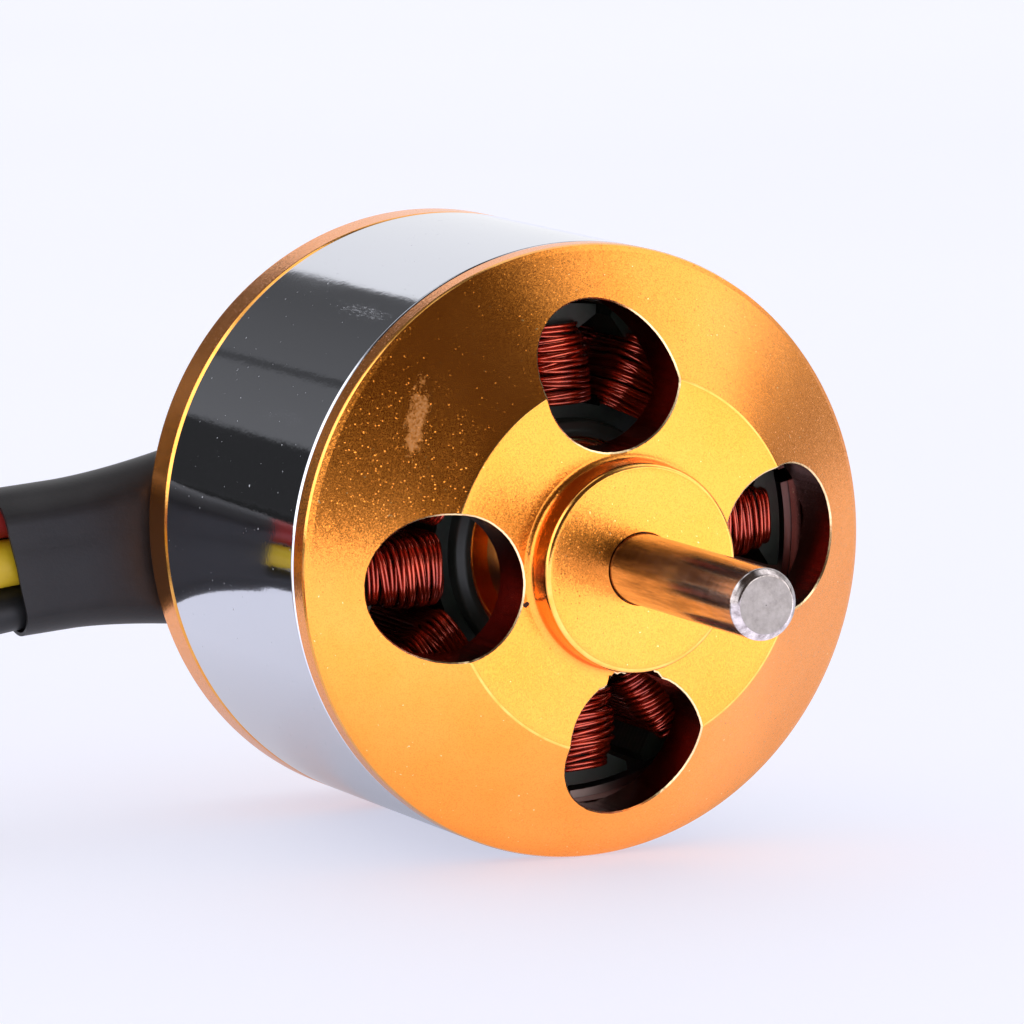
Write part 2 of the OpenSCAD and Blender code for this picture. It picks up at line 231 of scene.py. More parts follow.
# ---------------------------------------------------------------- materials
class Nodes:
    """Short calls for building a node tree."""

    def __init__(self, tree):
        self.tree = tree

    def add(self, kind, inputs=None, **settings):
        node = self.tree.nodes.new(kind)
        for key, value in settings.items():
            setattr(node, key, value)
        for key, value in (inputs or {}).items():
            socket = node.inputs[key]
            if isinstance(value, bpy.types.NodeSocket):
                self.tree.links.new(value, socket)
            else:
                socket.default_value = value
        return node

    def math(self, operation, a, b=0.0):
        return self.add("ShaderNodeMath", {0: a, 1: b}, operation=operation).outputs[0]

    def vector(self, operation, a, b=None):
        """A vector sum, product or the like, or the number that a dot product or a length gives."""
        node = self.add("ShaderNodeVectorMath", {0: a} if b is None else {0: a, 1: b}, operation=operation)
        return node.outputs["Value" if operation in ("DOT_PRODUCT", "LENGTH") else "Vector"]

    def spread(self, value, low, high, start=0.0, end=1.0, kind="LINEAR"):
        """Runs from low to high as value goes from start to end, and stays level beyond them."""
        inputs = {0: value, 1: start, 2: end, 3: low, 4: high}
        return self.add("ShaderNodeMapRange", inputs, interpolation_type=kind).outputs[0]

    def ramp(self, value, stops):
        """A blend through stops of (position, colour); a colour is three numbers or one grey."""
        node = self.add("ShaderNodeValToRGB", {"Fac": value})
        while len(node.color_ramp.elements) < len(stops):
            node.color_ramp.elements.new(0.5)
        for element, (position, colour) in zip(node.color_ramp.elements, stops):
            element.position = position
            element.color = (*colour, 1) if len(colour) == 3 else (colour[0],) * 3 + (1,)
        return node.outputs["Color"]

    def mix(self, factor, a, b):
        node = self.add("ShaderNodeMix", data_type="RGBA")
        for name, value in (("Factor", factor), ("A", a), ("B", b)):
            socket = [s for s in node.inputs if s.name == name and s.enabled][0]
            if isinstance(value, bpy.types.NodeSocket):
                self.tree.links.new(value, socket)
            elif name == "Factor":
                socket.default_value = value
            else:
                socket.default_value = (*value, 1)
        return [s for s in node.outputs if s.enabled][0]

    def noise(self, vector, scale, detail, roughness, distortion=0.0):
        inputs = {"Vector": vector, "Scale": scale, "Detail": detail}
        inputs |= {"Roughness": roughness, "Distortion": distortion}
        return self.add("ShaderNodeTexNoise", inputs).outputs["Fac"]

    def bump(self, height, distance, strength, normal=None):
        inputs = {"Height": height, "Distance": distance, "Strength": strength}
        if normal is not None:
            inputs["Normal"] = normal
        return self.add("ShaderNodeBump", inputs).outputs["Normal"]


def new_material(name, metallic=0.0):
    """A material with a principled shader; returns it, its node helper, the shader and object coordinates."""
    mat = bpy.data.materials.new(name)
    mat.use_nodes = True
    n = Nodes(mat.node_tree)
    shader = mat.node_tree.nodes["Principled BSDF"]
    shader.inputs["Metallic"].default_value = metallic
    where = n.add("ShaderNodeTexCoord").outputs["Object"]
    return mat, n, shader, where


def link(n, socket, shader, name):
    n.tree.links.new(socket, shader.inputs[name])


def darker(colour, share):
    return tuple(share * c for c in colour)


def gold_line_burnish_and_highlight():
    """Sharp edges, where the anodising is burnished and smoother; the lighter gold is a painted highlight."""
    mat, n, shader, where = new_material("gold_line_burnish_and_highlight", 1.0)
    worn = n.noise(where, 1400, 4.0, 0.6)
    link(n, n.ramp(worn, [(0.3, (1.0, 0.40, 0.065)), (0.7, (1.0, 0.51, 0.13))]), shader, "Base Color")
    link(n, n.spread(worn, 0.12, 0.24), shader, "Roughness")
    link(n, n.bump(n.noise(where, 9000, 2.0, 0.5), 0.00001, 0.3), shader, "Normal")
    return mat


GOLD_LIGHT, GOLD_DARK = (1.0, 0.352, 0.056), (0.96, 0.312, 0.038)


def gold_anodised(name="gold_anodised", light=GOLD_LIGHT, dark=GOLD_DARK, grain=1.0, marked=True):
    """Dyed anodising over fine bead blasting: sparkling grain, dust and, on the cap, a scuff and a nick."""
    mat, n, shader, where = new_material(name, 0.0 if marked else 1.0)
    grains = n.add("ShaderNodeTexVoronoi", {"Vector": where, "Scale": 19000.0}, feature="F1").outputs["Color"]
    coarse = n.noise(where, 5200, 3.0, 0.6)
    cloud = n.noise(where, 180, 4.0, 0.6)
    dust = n.ramp(n.noise(where, 5200, 1.0, 0.5), [(0.765, (0,)), (0.80, (1,))])
    base = n.ramp(cloud, [(0.3, dark), (0.7, light)])
    base = n.vector("MULTIPLY", base, n.ramp(grains, [(0.2, (0.90, 0.86, 0.80)), (0.5, (1, 1, 1))]))
    base = n.mix(n.math("MULTIPLY", dust, 0.7), base, (1.0, 0.72, 0.36))
    rough = n.spread(cloud, 0.22, 0.28, 0.2, 0.8)
    if marked:
        mark = scuff(n, where)
        base = n.mix(mark, base, (0.64, 0.28, 0.09))
        base = n.mix(nick(n, where), base, (0.03, 0.015, 0.01))
        rough = n.math("ADD", rough, n.math("MULTIPLY", mark, 0.3))
        link(n, n.math("SUBTRACT", 1.0, n.math("MULTIPLY", mark, 0.75)), shader, "Metallic")
    link(n, base, shader, "Base Color")
    link(n, rough, shader, "Roughness")

    # Each grain is a facet with its own slight tilt, and a few are tilted far enough to glint
    green = n.add("ShaderNodeSeparateXYZ", {0: grains}).outputs["Y"]
    reach = n.ramp(green, [(0.962, (0.08 * grain,)), (0.972, (0.32 * grain,))])
    tilt = n.vector("MULTIPLY", n.vector("SUBTRACT", grains, (0.5, 0.5, 0.5)), reach)
    facet = n.vector("NORMALIZE", n.vector("ADD", n.add("ShaderNodeNewGeometry").outputs["Normal"], tilt))
    link(n, n.bump(coarse, 0.000006, 0.09 * grain, facet), shader, "Normal")
    shader.inputs["Coat Weight"].default_value = 0.2
    shader.inputs["Coat Roughness"].default_value = 0.2
    return mat


def distance_from(n, where, centre, direction, half_length, half_width):
    """Squared distance from the middle of a long mark, 1 at its outline."""
    away = n.vector("SUBTRACT", where, centre)
    along = n.vector("DOT_PRODUCT", away, direction)
    across = n.math("SUBTRACT", n.math("POWER", n.vector("LENGTH", away), 2.0), n.math("POWER", along, 2.0))
    across = n.math("DIVIDE", n.math("MAXIMUM", across, 0.0), half_width**2)
    lengthwise = n.math("DIVIDE", n.math("ABSOLUTE", along), half_length)
    return n.math("ADD", n.math("POWER", lengthwise, 2.0), across)


SCUFF_AT = (-0.00915, -0.02315, 0.00690)
SCUFF_ALONG = (0.305, 0.245, 0.92)
SCUFF_HALF_LENGTH, SCUFF_HALF_WIDTH = 0.0019, 0.00052


def scuff(n, where):
    """Share of scuffed metal: a ragged patch on the cone, longer than wide."""
    far = distance_from(n, where, SCUFF_AT, SCUFF_ALONG, SCUFF_HALF_LENGTH, SCUFF_HALF_WIDTH)
    rags = n.noise(where, 1900, 8.0, 0.78, 0.5)
    patch = n.ramp(n.math("SUBTRACT", rags, n.math("MULTIPLY", far, 0.17)), [(0.37, (0,)), (0.47, (0.85,))])
    sand = n.ramp(n.noise(where, 9000, 3.0, 0.7), [(0.38, (0.25,)), (0.56, (1,))])
    return n.math("MULTIPLY", patch, sand)


NICK_AT = (-0.00492, -0.0254, -0.0015)
NICK_REACH = 0.00028


def nick(n, where):
    """A dark nick at the foot of the hub."""
    reach = n.vector("LENGTH", n.vector("SUBTRACT", where, NICK_AT))
    return n.math("LESS_THAN", reach, n.math("MULTIPLY", n.noise(where, 9000, 3.0, 0.6), NICK_REACH))


AXIS = (0.0, 1.0, 0.0)
# Hairline rubs along the axis on the flux ring: middle, half length, strength
RUBS = [((-0.00875, -0.0170, 0.0108), 0.0032, 0.7), ((-0.01244, -0.0161, 0.0062), 0.0035, 0.3)]
RUB_HALF_WIDTH = 0.00045


def polished_steel(name, colour, roughness):
    """Steel polished almost to a mirror, faintly wavy, with dust and two rubs."""
    mat, n, shader, where = new_material(name, 1.0)
    wave = n.noise(n.vector("MULTIPLY", where, (1.0, 0.45, 1.0)), 900, 3.0, 0.6)
    fine = n.noise(where, 5200, 2.0, 0.6)
    dust = n.ramp(n.noise(where, 4600, 1.0, 0.5), [(0.765, (0,)), (0.79, (1,))])
    smear = n.noise(n.vector("MULTIPLY", where, (1.0, 0.3, 1.0)), 260, 4.0, 0.6)
    link(n, n.mix(n.math("MULTIPLY", smear, 0.25), colour, darker(colour, 0.86)), shader, "Base Color")
    rough = n.spread(smear, roughness, roughness + 0.05, 0.3, 0.75)
    hairs = n.noise(n.vector("MULTIPLY", where, (1.0, 0.15, 1.0)), 11000, 4.0, 0.7)
    for centre, half_length, strength in RUBS:
        far = distance_from(n, where, centre, AXIS, half_length, RUB_HALF_WIDTH)
        patch = n.math("SUBTRACT", hairs, n.math("MULTIPLY", far, 0.12))
        rub = n.ramp(patch, [(0.42, (0,)), (0.62, (strength,))])
        rough = n.math("ADD", rough, n.math("MULTIPLY", rub, 0.4))
    link(n, n.math("ADD", rough, n.math("MULTIPLY", dust, 0.45)), shader, "Roughness")
    height = n.math("ADD", wave, n.math("MULTIPLY", fine, 0.3))
    link(n, n.bump(height, 0.00001, 0.45), shader, "Normal")
    return mat


def turned_steel(name, colour, roughness):
    """Ground steel with fine marks round the axis and darker streaks along it."""
    mat, n, shader, where = new_material(name, 1.0)
    marks = n.noise(n.vector("MULTIPLY", where, (0.02, 1.0, 0.02)), 26000, 2.0, 0.7)
    smear = n.noise(where, 420, 4.0, 0.6)
    base = n.mix(n.math("MULTIPLY", smear, 0.5), colour, darker(colour, 0.75))
    lengthwise = n.noise(n.vector("MULTIPLY", where, (1.0, 0.1, 1.0)), 2300, 4.0, 0.65)
    streaks = n.ramp(lengthwise, [(0.36, (0.50, 0.46, 0.46)), (0.62, (1.12, 1.08, 1.08))])
    link(n, n.vector("MULTIPLY", base, streaks), shader, "Base Color")
    link(n, n.spread(marks, roughness * 0.7, roughness * 1.5, 0.3, 0.7), shader, "Roughness")
    link(n, n.bump(marks, 0.000002, 0.35), shader, "Normal")
    return mat


def cut_steel(name):
    """The shaft's end face: sawn and tumbled, mottled and dull."""
    mat, n, shader, where = new_material(name, 1.0)
    blotch = n.noise(where, 1500, 6.0, 0.75)
    tone = n.ramp(blotch, [(0.3, (0.195, 0.172, 0.165)), (0.7, (0.345, 0.312, 0.302))])
    link(n, tone, shader, "Base Color")
    link(n, n.spread(blotch, 0.36, 0.5), shader, "Roughness")
    link(n, n.bump(blotch, 0.00006, 0.5), shader, "Normal")
    return mat


def enamelled_wire():
    """Dark red enamel over copper."""
    mat, n, shader, where = new_material("enamelled_wire", 0.85)
    tone = n.noise(where, 700, 3.0, 0.6)
    link(n, n.ramp(tone, [(0.3, (0.34, 0.024, 0.008)), (0.7, (0.72, 0.085, 0.028))]), shader, "Base Color")
    link(n, n.bump(n.noise(where, 9000, 2.0, 0.5), 0.000004, 0.4), shader, "Normal")
    link(n, n.spread(tone, 0.30, 0.18, 0.2, 0.8), shader, "Roughness")
    shader.inputs["Coat Weight"].default_value = 1.0
    shader.inputs["Coat Roughness"].default_value = 0.16
    return mat


def core_coating():
    """Dark green epoxy over a stack of thin laminations."""
    mat, n, shader, where = new_material("core_coating")
    wave = {"Vector": where, "Scale": 900.0, "Distortion": 0.6}
    sheets = n.add("ShaderNodeTexWave", wave, bands_direction="Y").outputs["Fac"]
    tone = n.noise(where, 1200, 3.0, 0.6)
    link(n, n.ramp(tone, [(0.3, (0.006, 0.013, 0.009)), (0.75, (0.014, 0.028, 0.016))]), shader, "Base Color")
    height = n.math("ADD", n.math("MULTIPLY", sheets, 0.4), tone)
    link(n, n.bump(height, 0.00003, 0.5), shader, "Normal")
    link(n, n.spread(tone, 0.35, 0.55), shader, "Roughness")
    return mat


def black_shrink():
    """Black shrink tube, shrunk a little unevenly."""
    mat, n, shader, where = new_material("black_shrink")
    tone = n.noise(where, 350, 5.0, 0.65)
    fine = n.noise(where, 7000, 2.0, 0.6)
    link(n, n.ramp(tone, [(0.3, (0.008, 0.007, 0.008)), (0.75, (0.020, 0.018, 0.020))]), shader, "Base Color")
    link(n, n.spread(tone, 0.38, 0.56), shader, "Roughness")
    link(n, n.bump(n.math("ADD", n.math("MULTIPLY", tone, 3.0), fine), 0.00002, 0.35), shader, "Normal")
    return mat


def silicone(name, colour, dark):
    """Soft, slightly dusty insulation."""
    mat, n, shader, where = new_material(name)
    tone = n.noise(where, 500, 4.0, 0.6)
    link(n, n.ramp(tone, [(0.3, dark), (0.7, colour)]), shader, "Base Color")
    link(n, n.bump(n.noise(where, 5000, 3.0, 0.6), 0.00001, 0.4), shader, "Normal")
    link(n, n.spread(tone, 0.36, 0.5), shader, "Roughness")
    return mat


def plated(name, colour, roughness):
    """Smooth metal with faint blotches."""
    mat, n, shader, where = new_material(name, 1.0)
    tone = n.noise(where, 900, 4.0, 0.6)
    link(n, n.mix(n.math("MULTIPLY", tone, 0.5), colour, darker(colour, 0.72)), shader, "Base Color")
    link(n, n.spread(tone, roughness, roughness + 0.15), shader, "Roughness")
    link(n, n.bump(n.noise(where, 6000, 2.0, 0.6), 0.000006, 0.3), shader, "Normal")
    return mat


MATERIALS = {
    "gold_anodised": gold_anodised(),
    # Darker copy of the gold for the cap's inside and vent walls: painted shade.
    "gold_painted_shade": gold_anodised("gold_painted_shade", (0.34, 0.036, 0.007), (0.24, 0.022, 0.004), 0.6, False),
    # Pale gold for the vents' rim chamfers and the tube's rim: painted highlight.
    "gold_painted_highlight": gold_anodised("gold_painted_highlight", (1.0, 0.82, 0.5), (1.0, 0.7, 0.36), 0.2, False),
    # Burnished gold, made lighter in colour as a painted highlight.
    "gold_line_burnish_and_highlight": gold_line_burnish_and_highlight(),
    "flux_ring_steel": polished_steel("flux_ring_steel", (0.65, 0.665, 0.722), 0.045),
    "shaft_steel": turned_steel("shaft_steel", (0.54, 0.50, 0.49), 0.17),
    "shaft_end": cut_steel("shaft_end"),
    "bearing_steel": plated("bearing_steel", (0.62, 0.62, 0.64), 0.16),
    "shield_steel": plated("shield_steel", (0.55, 0.55, 0.56), 0.28),
    "cage_brass": plated("cage_brass", (0.75, 0.52, 0.22), 0.25),
    "spring_steel": plated("spring_steel", (0.06, 0.06, 0.065), 0.38),
    "magnet_nickel": plated("magnet_nickel", (0.3, 0.29, 0.28), 0.3),
    "core_coating": core_coating(),
    "enamelled_wire": enamelled_wire(),
    "solder": plated("solder", (0.68, 0.68, 0.7), 0.22),
    "black_shrink": black_shrink(),
    "red_silicone": silicone("red_silicone", (0.42, 0.025, 0.02), (0.30, 0.016, 0.014)),
    "yellow_silicone": silicone("yellow_silicone", (0.86, 0.60, 0.02), (0.72, 0.46, 0.015)),
    "dark_collar_grey": silicone("dark_collar_grey", (0.036, 0.042, 0.034), (0.02, 0.024, 0.019)),
    "black_silicone": silicone("black_silicone", (0.018, 0.018, 0.02), (0.01, 0.01, 0.011)),
    "gold_plate": plated("gold_plate", (0.9, 0.62, 0.24), 0.14),
}

# Every carried-over CAD node takes the material of its record slot.
for entry in frame["record"]["subparts"]:
    node = frame["nodes"][entry["node"]]
    node.data.materials.clear()
    node.data.materials.append(MATERIALS[entry["material_slot"]])
    smooth(node, 30)


def stand_in(obj, node, body):
    """obj is shown in place of a CAD node and rides on its body."""
    slot = next(e["material_slot"] for e in frame["record"]["subparts"] if e["node"] == node)
    if not obj.data.materials:
        obj.data.materials.append(MATERIALS[slot])
    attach(obj, body)
    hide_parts(node)
    return obj


# ---------------------------------------------------------------- turned pieces of the can
# Width of the slanted edge at either end of the can
EDGE = 0.28
# How far the closing ring and the cap reach into the flux ring
TONGUE = 0.8
CAP_LIP = RING_FRONT - 0.9


def flux_ring():
    rear_bevel, front_bevel = 0.1, 0.13
    outline = [
        (RING_BORE, RING_REAR), (CAN_R - rear_bevel, RING_REAR), (CAN_R, RING_REAR + rear_bevel),
        (CAN_R, RING_FRONT - front_bevel), (CAN_R - front_bevel, RING_FRONT), (RING_BORE, RING_FRONT),
    ]
    verts, faces = lathe(rounded(outline, {2: 0.03, 3: 0.04}), 512)
    return make_object("flux_ring_turned", place(verts), faces, sharp_deg=30)


def rear_ring():
    seam_width, seam_depth = 0.25, 0.12
    outline = [
        (RING_BORE - 0.15, CAN_REAR), (CAN_R - EDGE, CAN_REAR), (CAN_R, CAN_REAR + EDGE),
        (CAN_R, RING_REAR - seam_width), (CAN_R - seam_depth, RING_REAR), (RING_BORE, RING_REAR),
        (RING_BORE, RING_REAR + TONGUE), (RING_BORE - TONGUE, RING_REAR + TONGUE),
        (RING_BORE - TONGUE, RING_REAR - TONGUE),
    ]
    verts, faces = lathe(rounded(outline, {2: 0.07, 3: 0.05}), 512)
    obj = make_object("rear_ring_turned", place(verts), faces, sharp_deg=30)
    obj.data.materials.append(MATERIALS["gold_anodised"])
    obj.data.materials.append(MATERIALS["gold_line_burnish_and_highlight"])
    margin = 0.01
    # The seam takes the burnished gold, whose lighter colour is partly a painted highlight.
    for face in obj.data.polygons:
        along, r = -face.center.y / MM, math.hypot(face.center.x, face.center.z) / MM
        if RING_REAR - seam_width + margin < along < RING_REAR and r > CAN_R - seam_depth - margin:
            face.material_index = 1
    return obj


def shaft():
    """The shaft with its circlip groove, and the undercut just behind the hub's face."""
    centre, bevel, round_ = 0.02, 0.28, 0.08
    groove, groove_depth, groove_width = along_range("circlip")[0], 0.3, 0.45
    relief, relief_start, relief_end = 0.2, HUB_FACE - 0.75, HUB_FACE - 0.1
    outline = [
        (centre, SHAFT_REAR), (SHAFT_R - bevel, SHAFT_REAR), (SHAFT_R, SHAFT_REAR + bevel),
        (SHAFT_R, groove), (SHAFT_R - groove_depth, groove),
        (SHAFT_R - groove_depth, groove + groove_width), (SHAFT_R, groove + groove_width),
        (SHAFT_R, relief_start), (SHAFT_R - relief, relief_start), (SHAFT_R - relief, relief_end),
        (SHAFT_R, relief_end), (SHAFT_R, SHAFT_TIP - bevel), (SHAFT_R - bevel, SHAFT_TIP),
        (centre, SHAFT_TIP),
    ]
    verts, faces = lathe(rounded(outline, {11: round_, 12: round_}), 128)
    obj = make_object("shaft_ground", place(verts), faces, sharp_deg=30)
    obj.data.materials.append(MATERIALS["shaft_steel"])
    obj.data.materials.append(MATERIALS["shaft_end"])
    for face in obj.data.polygons:
        if face.normal.y < -0.99:
            face.material_index = 1
    return obj


# ---------------------------------------------------------------- front cap with its vents
# Chamfer round a vent, radius of the hub's foot, and half the width of the bend between flat and cone
RIM = 0.07
FOOT = 0.36
CREASE = 0.1
FOOT_START = HUB_R + 0.03
FOOT_END = HUB_R + FOOT
CONE_FOOT = BAND_FRONT + EDGE * 0.7
CAP_R = CAN_R - EDGE
CAP_BORE = 3.0
SKIRT_BORE = RING_BORE - 0.85


def cap_height(r):
    """Outer face of the cap: the hub's foot, flat, a slightly rounded crease, then the cone."""
    r = np.asarray(r, float)
    slope = (FLAT_FACE - 0.09 - CONE_FOOT) / (CAP_R - FLAT_R - 0.12)
    cone = FLAT_FACE - (r - FLAT_R) * slope
    s = np.clip((r - FLAT_R + CREASE) / (2 * CREASE), 0, 1)
    soft = FLAT_FACE - slope * CREASE * s * s
    foot = FLAT_FACE + FOOT - np.sqrt(np.clip(FOOT**2 - np.clip(FOOT_END - r, 0, FOOT) ** 2, 0, None))
    outer = np.where(r < FLAT_R - CREASE, FLAT_FACE, np.where(r > FLAT_R + CREASE, cone, soft))
    return np.where(r < FOOT_END, foot, outer)


def cap_inside(r):
    """Inner face of the cap, roughly parallel to the outer one."""
    plate = FLAT_FACE - 2.4
    slope = (CAP_R - FLAT_R) / 3.9
    return np.minimum(plate, plate - (np.asarray(r, float) - (FLAT_R - 0.5)) / slope)


def vent_centres():
    turns = [VENT_ANGLE + q * math.pi / 2 for q in range(4)]
    return [(VENT_CIRCLE_R * math.cos(t), VENT_CIRCLE_R * math.sin(t)) for t in turns]


def vent_outline(centre, radius, ragged, rng):
    """Edge of a vent; the ragged one breaks through to the foot of the hub."""
    steps = 200
    frayed, torn, torn_depth = (HUB_R + 0.62, HUB_R + 1.0), HUB_R + 0.72, 0.22
    out = []
    for i in range(steps):
        t = 2 * math.pi * i / steps
        r = radius + rng.gauss(0, 0.004)
        x, y = centre[0] + r * math.cos(t), centre[1] + r * math.sin(t)
        near = math.hypot(x, y)
        if ragged and frayed[0] < near < frayed[1]:
            x, y = x + rng.gauss(0, 0.05), y + rng.gauss(0, 0.05)
        if ragged and near < torn:
            side = abs(math.atan2(y, x) - math.atan2(centre[1], centre[0]))
            pull = min(1.0, (torn - near) / torn_depth)
            goal = HUB_R + 0.09 + abs(rng.gauss(0, 0.05)) + 0.05 * math.sin(90 * side)
            now = near + (goal - near) * pull
            x, y = x * now / near, y * now / near
        out.append((x, y))
    return out


def plate_mesh(inner_r, outer_r, outlines, height, ring_steps, spacing):
    """A pierced ring-shaped face: vertices, faces and the rim of each hole."""
    points, edges = [], []

    def loop(coords):
        first = len(points)
        points.extend(coords)
        edges.extend((first + i, first + (i + 1) % len(coords)) for i in range(len(coords)))
        return list(range(first, first + len(coords)))

    def circle(r, steps, turn=0.0):
        angles = [turn + 2 * math.pi * i / steps for i in range(steps)]
        return [(r * math.cos(a), r * math.sin(a)) for a in angles]

    loop(circle(inner_r, ring_steps))
    loop(circle(outer_r, ring_steps))
    rims = [loop(outline) for outline in outlines]
    shapes = [np.array(outline) for outline in outlines]

    def in_hole(x, y, margin):
        for shape, (cx, cy) in zip(shapes, vent_centres()):
            if math.hypot(x - cx, y - cy) > VENT_R + 1:
                continue
            i = int(np.hypot(shape[:, 0] - x, shape[:, 1] - y).argmin())
            reach = math.hypot(shape[i, 0] - cx, shape[i, 1] - cy)
            if math.hypot(x - cx, y - cy) < reach + margin:
                return True
        return False

    # Even rows of points where the face bends and along its border, looser ones between
    between = np.arange(FOOT_END + spacing, outer_r - 0.6 * spacing, spacing)
    loose = [r for r in between if abs(r - FLAT_R) > 2 * CREASE]
    creases = [FLAT_R + k * CREASE for k in (-1, -0.5, 0, 0.5, 1)]
    foot = [r for r in np.linspace(FOOT_START, FOOT_END, 8)[1:] if inner_r < r < outer_r]
    border = [outer_r - 0.1, outer_r - 0.05]
    rows = [(r, int(2 * math.pi * r / spacing), r) for r in loose]
    rows += [(r, 480, 0.0) for r in creases]
    rows += [(r, ring_steps, 0.0) for r in foot + border]
    clear = 0.5 * min(spacing, 0.12)
    for r, steps, turn in rows:
        if r > inner_r:
            points += [(x, y) for x, y in circle(r, steps, turn) if not in_hole(x, y, clear)]
    out, _, faces, _, _, _ = delaunay_2d_cdt([Vector(p) for p in points], edges, [], 0, 1e-7)
    kept = []
    for face in faces:
        cx = sum(out[i].x for i in face) / len(face)
        cy = sum(out[i].y for i in face) / len(face)
        if inner_r < math.hypot(cx, cy) < outer_r and not in_hole(cx, cy, 0):
            kept.append(tuple(face))
    flat = np.array([(v.x, v.y) for v in out])
    verts = np.column_stack([flat, height(np.hypot(flat[:, 0], flat[:, 1]))])
    return verts, kept, rims


def hub_outline():
    """From the hub's foot over its face and down the shaft's bore to the inside of the cap."""
    bore = SHAFT_R + 0.03
    counterbore = HUB_FACE - 0.8
    corners = [(HUB_R, FLAT_FACE + FOOT), (HUB_R, HUB_FACE), (SHAFT_R + 0.3, HUB_FACE)]
    outline = [(FOOT_START, float(cap_height(FOOT_START)))] + rounded(corners, {1: 0.3}, 6)
    outline += [(SHAFT_R + 0.07, HUB_FACE), (bore, HUB_FACE - 0.05), (bore, counterbore)]
    outline += [(SHAFT_R, counterbore), (SHAFT_R, CAP_BACK)]
    return outline + [(CAP_BORE, CAP_BACK), (CAP_BORE, float(cap_inside(CAP_BORE)))]


def band_outline():
    """From the tongue inside the flux ring over the cap's straight band to the cone's edge."""
    seam, edge = 0.1, 0.2
    outline = [(RING_BORE, CAP_LIP), (RING_BORE, RING_FRONT)]
    outline += [(CAN_R - seam, RING_FRONT), (CAN_R, RING_FRONT + seam), (CAN_R, RING_FRONT + seam + 0.04)]
    outline += [(CAN_R, BAND_FRONT - edge), (CAN_R, BAND_FRONT - edge + 0.04)]
    return outline + [(CAN_R - 0.055, BAND_FRONT), (CAP_R, CONE_FOOT)]


def burnished(r, along):
    """Whether a place on the cap's outside lies on one of its bright burnished edges, whose lighter gold is
    partly a painted highlight.
    """
    crease = abs(r - FLAT_R) < CREASE / 2 and along > BAND_FRONT
    hub_edge = HUB_R - 0.2 < r < HUB_R - 0.02 and HUB_FACE - 0.2 < along < HUB_FACE - 0.02
    band_edge = r > CAN_R - 0.06 and BAND_FRONT - 0.15 < along < BAND_FRONT
    return crease or hub_edge or band_edge


def front_cap():
    steps = 384
    rng = random.Random(4)
    centres = vent_centres()
    outlines = [vent_outline(c, VENT_R + RIM, q == 3, rng) for q, c in enumerate(centres)]
    low_lines = [vent_outline(c, VENT_R, False, rng) for c in centres]
    top_v, top_f, rims = plate_mesh(FOOT_START, CAP_R, outlines, cap_height, steps, 0.26)
    low_v, low_f, low_rims = plate_mesh(CAP_BORE, SKIRT_BORE, low_lines, cap_inside, 192, 0.5)
    outside = [(top_v, top_f)]
    inside = [(low_v, [tuple(reversed(f)) for f in low_f])]
    edges = []
    for rim, low, (cx, cy) in zip(rims, low_rims, centres):
        outer = top_v[rim]
        inward = np.array([cx, cy]) - outer[:, :2]
        inward *= (RIM / np.linalg.norm(inward, axis=1))[:, None]
        mid = np.column_stack([outer[:, :2] + inward, outer[:, 2] - RIM * 0.9])
        n = len(rim)
        ring = [(i, n + i, n + (i + 1) % n, (i + 1) % n) for i in range(n)]
        edges.append((np.concatenate([outer, mid]), ring))
        inside.append((np.concatenate([mid, low_v[low]]), ring))
    outside.append(open_lathe(hub_outline(), steps))
    skirt = [(SKIRT_BORE, float(cap_inside(SKIRT_BORE))), (SKIRT_BORE, CAP_LIP), (RING_BORE, CAP_LIP)]
    inside.append(open_lathe(skirt, steps))
    outside.append(open_lathe(band_outline(), steps))
    verts, faces = joined(outside + inside + edges)
    obj = make_object("front_cap_pierced", place(verts), faces, sharp_deg=28)
    for slot in ("gold_anodised", "gold_painted_shade", "gold_painted_highlight", "gold_line_burnish_and_highlight"):
        obj.data.materials.append(MATERIALS[slot])
    first = sum(len(f) for _, f in outside)
    second = first + sum(len(f) for _, f in inside)
    index = np.zeros(len(faces), np.int32)
    # The cap's inside and vent walls take the darker gold: painted shade.
    index[first:second] = 1
    # The vents' rim chamfers take the pale gold: painted highlight.
    index[second:] = 2
    # Burnished edges take the lighter gold, partly a painted highlight.
    for k in range(first):
        x, y, along = verts[list(faces[k])].mean(axis=0)
        if burnished(math.hypot(x, y), along):
            index[k] = 3
    obj.data.polygons.foreach_set("material_index", index)
    weld(obj)
    return obj


def open_lathe(profile, steps):
    """As lathe, for an outline whose last point isn't joined to its first."""
    verts, faces = lathe(profile, steps)
    n = len(profile)
    return verts, [f for k, f in enumerate(faces) if k % n != n - 1]


SAME_POINT = 2e-8


def weld(obj):
    """Joins the separately made faces where they meet."""
    bm = bmesh.new()
    bm.from_mesh(obj.data)
    bmesh.ops.remove_doubles(bm, verts=bm.verts, dist=SAME_POINT)
    bmesh.ops.recalc_face_normals(bm, faces=bm.faces)
    bm.to_mesh(obj.data)
    bm.free()
    smooth(obj, 28)


# ---------------------------------------------------------------- windings
WIRE_D = 0.205
WIRE_PITCH = 0.228
# Layers of turns on a tooth: inner and outer radius, and how untidy the layer is
LAYERS = [(6.6, 10.3, 0.8), (6.62, 9.75, 1.3), (6.66, 9.0, 2.0)]
# Wires beside a tooth stay under its shoe and in their half of the slot
SHOE_R = 9.85
HALF_SLOT = math.radians(15)
# Over the ends of the stack they clear it and turn squarish corners
END_GAP = 0.12
CORNER = 0.8


